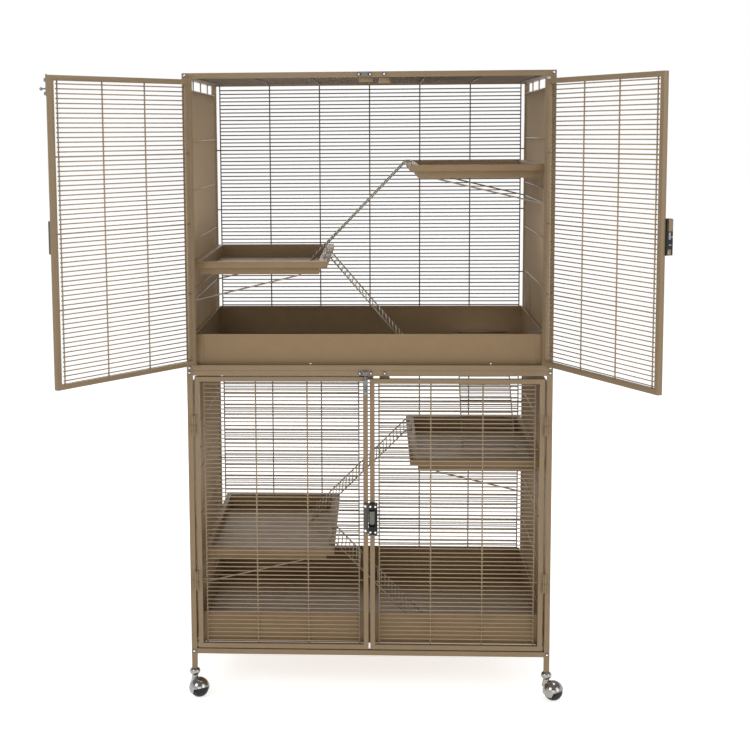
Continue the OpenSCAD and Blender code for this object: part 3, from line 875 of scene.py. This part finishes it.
class CAGE_OT_hardware(Step):
    """Adds screws, rivets and plates that fasten the latches, strikes, hinges and trays"""

    bl_idname = "cage.hardware"
    bl_label = "Hardware"

    def execute(self, context):
        for storey in STOREYS:
            self.latch_screws(storey)
            for side, sign in (("left", -1), ("right", 1)):
                self.hinge_rivets(storey, side, sign)
        self.bolt_heads()
        self.latch_sides()
        tray_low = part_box("upper_tray")[0]
        rivets = Builder("tray_front_rivets", "bolt_chrome", "screw_head")
        for x in TRAY_RIVET_X:
            rivets.head((x, tray_low.y + 0.0006, tray_low.z + 0.005), *TRAY_RIVET)
        rivets.done("frame")
        return {"FINISHED"}

    def latch_screws(self, storey):
        """Four heads on the face of a latch and two on its strike."""
        low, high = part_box("lower_latch_body")
        middle = (low.x + high.x) / 2
        screws = Builder(f"{storey}_latch_screws", "bolt_chrome", "screw_head")
        for z in (low.z + LATCH_EDGE, high.z - LATCH_EDGE):
            for x in LATCH_SCREW_X:
                screws.head((middle + x, low.y, z), *LATCH_SCREW)
        screws.done(f"{storey}_right_door", door_move(storey, "right"))
        low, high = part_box("lower_latch_strike")
        rivets = Builder(f"{storey}_strike_screws", "bolt_chrome", "screw_head")
        rivets.add(
            "dome", ((low.x + high.x) / 2, low.y, low.z + STRIKE_EDGE),
            Z * (high.z - low.z - 2 * STRIKE_EDGE), 2, Y, *STRIKE_SCREW,
        )
        rivets.done(f"{storey}_left_door", door_move(storey, "left"))

    def hinge_rivets(self, storey, side, sign):
        """Rivets on both leaves of a door's hinges, and a painted-shade strip down each barrel's front.
        """
        fixed = Builder(f"{storey}_{side}_hinge_rivets", "frame_paint")
        moving = Builder(f"{storey}_{side}_leaf_rivets", "door_paint")
        pivot = Vector(JOINT[f"lower_{side}_door_hinge"]["pos_m"])
        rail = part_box("lower_cross_rails")[0]
        half = Z * HINGE_HALF
        for height in HINGE_HEIGHTS:
            z = rail.z + height
            for builder, way, shift in ((fixed, sign, -0.019), (moving, -sign, 0.007)):
                place = Vector((pivot.x + way * LEAF_RIVET_OUT, rail.y - LEAF_THICKNESS, z + shift))
                builder.add("dome", place, Z * LEAF_RIVET_STEP, 2, Y, *LEAF_RIVET)
            # A thin dark wire on each half of each barrel is painted shade.
            for builder, shift in ((fixed, -HINGE_MIDDLE), (moving, HINGE_MIDDLE)):
                point = Vector((pivot.x, pivot.y - HINGE_FRONT, z + shift))
                builder.wire(point - half, point + half, HINGE_SHADE_STRIP, "hinge_dark")
        fixed.done("frame", storey_move(storey))
        moving.done(f"{storey}_{side}_door", door_move(storey, side))

    def bolt_heads(self):
        """Bright domes on dark washers, on the posts and the rails' bolt keepers; the dark ring is
        partly painted reflection.
        """
        heads = Builder("frame_bolt_heads", "bolt_chrome", "screw_head")
        low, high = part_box("legs")
        half = (high.y - low.y) / 2
        post = high.x - TUBE / 2
        for storey in STOREYS:
            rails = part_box(f"{storey}_cross_rails")
            for z in (rails[0].z + TUBE / 2, rails[1].z - 0.006):
                for way in (-Y, Y):
                    row = (Vector((-post, way.y * half, z)), X * 2 * post, 2, way)
                    # A dark washer under each head, partly painted reflection.
                    heads.add("dome", *row, *BOLT_WASHER_REFLECTION, coat="dull_plate")
                    heads.add("dome", *row, *BOLT_HEAD)
        heads.done("frame", None, ["frame_bolts"])
        keeper = Builder("keeper_bolt_heads", "bolt_chrome", "screw_head")
        low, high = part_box("bolt_keepers")
        middle = (low.x + high.x) / 2
        for storey in STOREYS:
            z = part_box(f"{storey}_cross_rails")[1].z - TUBE / 2
            for x in (middle - KEEPER_SCREW_OUT, middle + KEEPER_SCREW_OUT, STOP_SCREW_X):
                # A dark washer under each head, partly painted reflection.
                keeper.head((x, -half - 0.001, z), *KEEPER_WASHER_REFLECTION, "dull_plate")
                keeper.head((x, -half - 0.001, z), *KEEPER_HEAD)
        keeper.done("frame")

    def latch_sides(self):
        """Thin plates, a tongue and a catch on the side of the latch that meets the strike."""
        low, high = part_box("lower_latch_body")
        tall, deep, side = high.z - low.z, high.y - low.y, low.x
        blocks = [
            (
                slot,
                (side - thick, low.y + deep * front, low.z + tall * bottom),
                (side + LATCH_SINK, low.y + deep * back, low.z + tall * top),
            )
            for slot, thick, bottom, top, front, back in LATCH_SIDE
        ]
        for storey in STOREYS:
            boxes(f"{storey}_latch_plates", blocks, f"{storey}_right_door", door_move(storey, "right"))


class CAGE_OT_castors(Step):
    """Adds the axle caps to the ball castors"""

    bl_idname = "cage.castors"
    bl_label = "Castors"

    def execute(self, context):
        for corner in ("front_left", "front_right", "rear_left", "rear_right"):
            roll = JOINT[f"castor_{corner}_roll"]
            axle = Vector(roll["axis"])
            centre = Vector(roll["pos_m"])
            caps = Builder(f"castor_{corner}_caps", "castor_chrome")
            reach = axle * AXLE_CAP_OUT
            caps.add("dome", centre - reach, 2 * reach, 2, axle, *AXLE_CAP)
            caps.done(f"castor_{corner}")
        return {"FINISHED"}


FLOOR_GLOW = 0.62
FLOOR_REACH = 30.0
SKY_STOPS = [(0.36, (1.0, 1.0, 1.0)), (0.52, (0.3, 0.3, 0.3))]
# name, place, target, width and height, watts
LIGHTS = [
    ("key_light", (-2.6, -3.4, 3.2), (0, 0, 0.8), (2.2, 2.2), 56),
    ("fill_light", (3.0, -2.6, 2.0), (0, 0, 0.7), (2.0, 2.6), 29),
    ("front_light", (0.0, -4.6, 1.1), (0, 0, 0.6), (2.6, 1.4), 12),
    ("top_light", (0.2, 0.6, 4.2), (0, 0, 0.4), (3.0, 2.0), 44),
    ("back_light", (-0.8, 3.8, 2.4), (0, 0, 0.8), (2.6, 2.0), 24),
]


def area_light(name, place, target, size, power):
    data = bpy.data.lights.new(name, "AREA")
    data.shape = "RECTANGLE"
    data.size, data.size_y = size
    data.energy = power
    lamp = bpy.data.objects.new(name, data)
    lamp.location = place
    lamp.rotation_euler = (Vector(target) - Vector(place)).to_track_quat("-Z", "Y").to_euler()
    bpy.context.scene.collection.objects.link(lamp)


class CAGE_OT_stage(Step):
    """Sets the floor, the lights, the sky and the camera"""

    bl_idname = "cage.stage"
    bl_label = "Stage"

    def execute(self, context):
        scene = context.scene
        mesh = bpy.data.meshes.new("floor")
        reach = FLOOR_REACH
        corners = [(-reach, -reach, 0), (reach, -reach, 0), (reach, reach, 0), (-reach, reach, 0)]
        mesh.from_pydata(corners, [], [(0, 1, 2, 3)])
        floor = bpy.data.objects.new("floor", mesh)
        scene.collection.objects.link(floor)
        paper = Finish("cage_floor")
        paper.set(
            Base_Color=(*look().floor, 1.0), Roughness=0.75, Specular_IOR_Level=0.2,
            Emission_Color=(1.0, 1.0, 1.0, 1.0), Emission_Strength=FLOOR_GLOW,
        )
        mesh.materials.append(paper.material)
        self.sky(scene)
        for light in LIGHTS:
            area_light(*light)
        self.camera(scene)
        scene.view_settings.view_transform = "Standard"
        return {"FINISHED"}

    def sky(self, scene):
        """A white studio with a darker ceiling for the plated parts to reflect."""
        world = bpy.data.worlds.new("studio")
        scene.world = world
        world.use_nodes = True
        sky = Network(world.node_tree)
        way = sky.node("ShaderNodeTexCoord").out("Generated")
        height = sky.node("ShaderNodeSeparateXYZ", None, {0: way}).out("Z")
        shade = sky.node("ShaderNodeValToRGB", {"stops": SKY_STOPS}, {"Fac": height}).out("Color")
        sky.feed(world.node_tree.nodes["Background"].inputs["Color"], shade)

    def camera(self, scene):
        setting = scene.cage_camera
        data = bpy.data.cameras.new("camera")
        data.sensor_width = 36.0
        data.lens = setting.lens
        data.shift_x = setting.shift_x
        data.shift_y = setting.shift_y
        eye = bpy.data.objects.new("camera", data)
        eye.location = setting.stand
        turn = Matrix.Rotation(setting.turn, 3, "Z")
        pitch = Matrix.Rotation(math.radians(90) - setting.pitch, 3, "X")
        roll = Matrix.Rotation(setting.roll, 3, "Z")
        eye.rotation_euler = (turn @ pitch @ roll).to_euler()
        scene.collection.objects.link(eye)
        scene.camera = eye


OPERATORS = (
    CAGE_OT_grilles, CAGE_OT_ladders, CAGE_OT_frame, CAGE_OT_sheet_metal, CAGE_OT_hardware,
    CAGE_OT_castors, CAGE_OT_small_parts, CAGE_OT_stage,
)


class CAGE_PT_panel(bpy.types.Panel):
    """Lists the cage's sizes, colours and steps"""

    bl_idname = "CAGE_PT_panel"
    bl_label = "Wire cage"
    bl_space_type = "VIEW_3D"
    bl_region_type = "UI"
    bl_category = "Wire cage"

    def draw(self, context):
        for group in (context.scene.cage_wires, context.scene.cage_look, context.scene.cage_camera):
            box = self.layout.box()
            for key in group.bl_rna.properties.keys():
                if key not in ("rna_type", "name"):
                    box.prop(group, key)
        for operator in OPERATORS:
            self.layout.operator(operator.bl_idname)


GROUPS = {"cage_wires": CageWires, "cage_look": CageLook, "cage_camera": CageCamera}
CLASSES = (*GROUPS.values(), *OPERATORS, CAGE_PT_panel)


def register():
    for made in CLASSES:
        bpy.utils.register_class(made)
    for name, group in GROUPS.items():
        setattr(bpy.types.Scene, name, bpy.props.PointerProperty(type=group))


def unregister():
    for name in GROUPS:
        delattr(bpy.types.Scene, name)
    for made in reversed(CLASSES):
        bpy.utils.unregister_class(made)


def main():
    register()
    for operator in OPERATORS:
        group, name = operator.bl_idname.split(".")
        result = getattr(getattr(bpy.ops, group), name)()
        if result != {"FINISHED"}:
            raise RuntimeError(f"{operator.bl_idname} did not finish")


if __name__ == "__main__":
    main()
